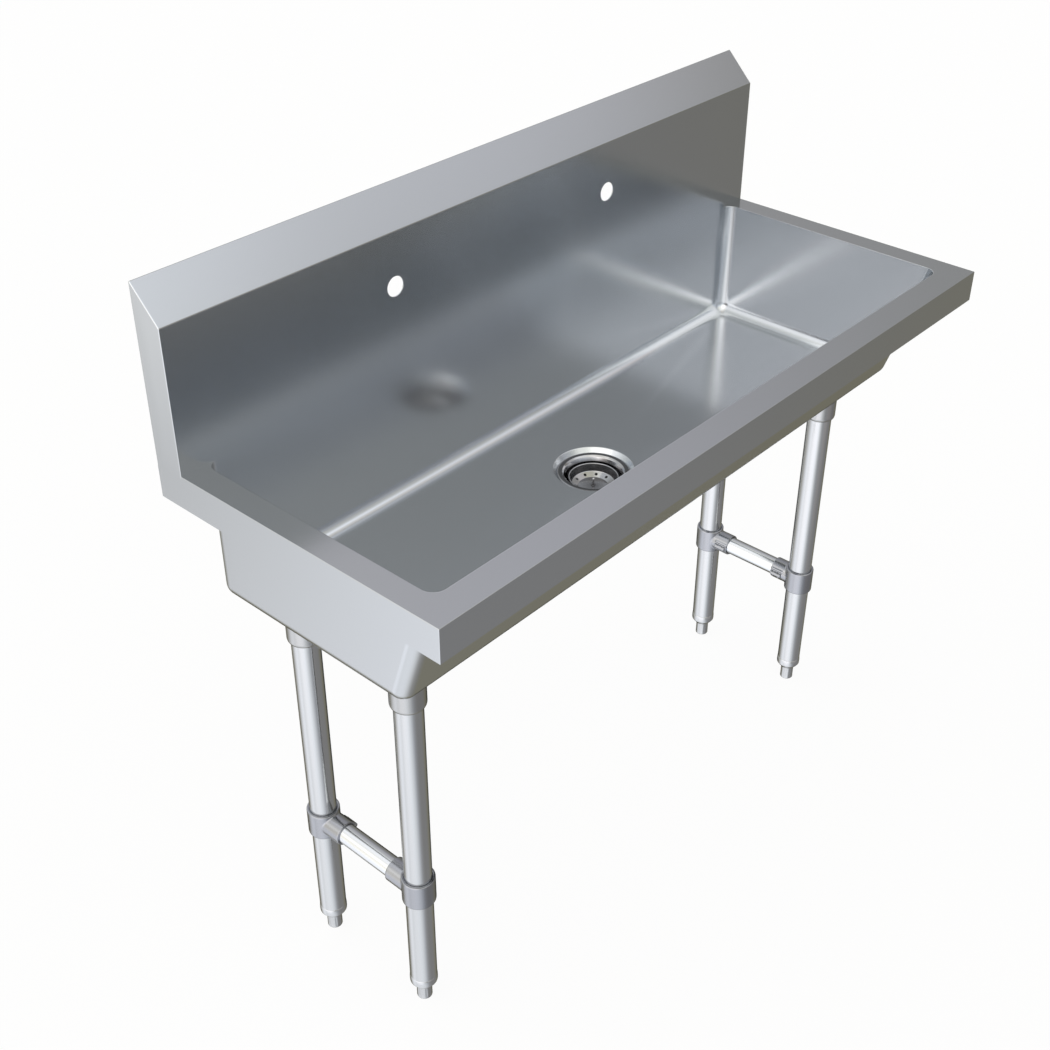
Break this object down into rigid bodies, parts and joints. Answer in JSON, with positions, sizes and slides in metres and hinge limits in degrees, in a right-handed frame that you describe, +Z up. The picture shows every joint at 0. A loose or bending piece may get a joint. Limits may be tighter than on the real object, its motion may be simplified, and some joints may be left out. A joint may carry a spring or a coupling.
{
  "type": "trough sink",
  "caption": "Freestanding stainless trough sink with a coved bowl, apron, box backsplash with faucet holes, basket drain and tubular legs on screw feet.",
  "frame": {"origin": "middle of the footprint on the floor", "axes": "+X along the trough, +Y from the front edge to the wall, +Z up"},
  "size_m": [1.219, 0.502, 1.13],
  "materials": {
    "sheet": "brushed",
    "tube": "polished",
    "socket": "satin",
    "plate": "mill",
    "cast": "cast, sealed",
    "foot": "satin",
    "screws": "plain",
    "drain": "polished",
    "nut": "zinc",
    "rubber": "moulded",
    "fibre": "pressed fibre"
  },
  "bodies": {
    "sink": {"bowl": "sheet", "deck": "sheet", "backsplash": "sheet", "end_cap_left": "sheet", "end_cap_right": "sheet", "drain_body": "drain", "drain_gasket": "rubber", "drain_friction_ring": "fibre", "drain_locknut": "nut", "plate_front_left": "plate", "plate_rear_left": "plate", "plate_front_right": "plate", "plate_rear_right": "plate", "socket_front_left": "socket", "socket_rear_left": "socket", "socket_front_right": "socket", "socket_rear_right": "socket", "socket_screws": "screws", "leg_front_left": "tube", "leg_rear_left": "tube", "leg_front_right": "tube", "leg_rear_right": "tube", "clamp_front_left": "cast", "clamp_rear_left": "cast", "clamp_front_right": "cast", "clamp_rear_right": "cast", "clamp_screws": "screws", "cross_tube_left": "tube", "cross_tube_right": "tube", "foot_body_front_left": "foot", "foot_body_rear_left": "foot", "foot_body_front_right": "foot", "foot_body_rear_right": "foot"},
    "strainer": {"strainer_basket": "drain", "strainer_post": "drain", "strainer_stopper": "rubber"},
    "screw_foot_front_left": {"foot_front_left": "foot"},
    "screw_foot_rear_left": {"foot_rear_left": "foot"},
    "screw_foot_front_right": {"foot_front_right": "foot"},
    "screw_foot_rear_right": {"foot_rear_right": "foot"}
  },
  "joints": [
    {"name": "strainer_lift", "type": "slide", "parent": "sink", "child": "strainer", "axis": [0, 0, 1], "range_m": [0, 0.26]},
    {"name": "foot_screw_front_left", "type": "slide", "parent": "sink", "child": "screw_foot_front_left", "axis": [0, 0, -1], "range_m": [0, 0.02]},
    {"name": "foot_screw_rear_left", "type": "slide", "parent": "sink", "child": "screw_foot_rear_left", "axis": [0, 0, -1], "range_m": [0, 0.02]},
    {"name": "foot_screw_front_right", "type": "slide", "parent": "sink", "child": "screw_foot_front_right", "axis": [0, 0, -1], "range_m": [0, 0.02]},
    {"name": "foot_screw_rear_right", "type": "slide", "parent": "sink", "child": "screw_foot_rear_right", "axis": [0, 0, -1], "range_m": [0, 0.02]}
  ]
}
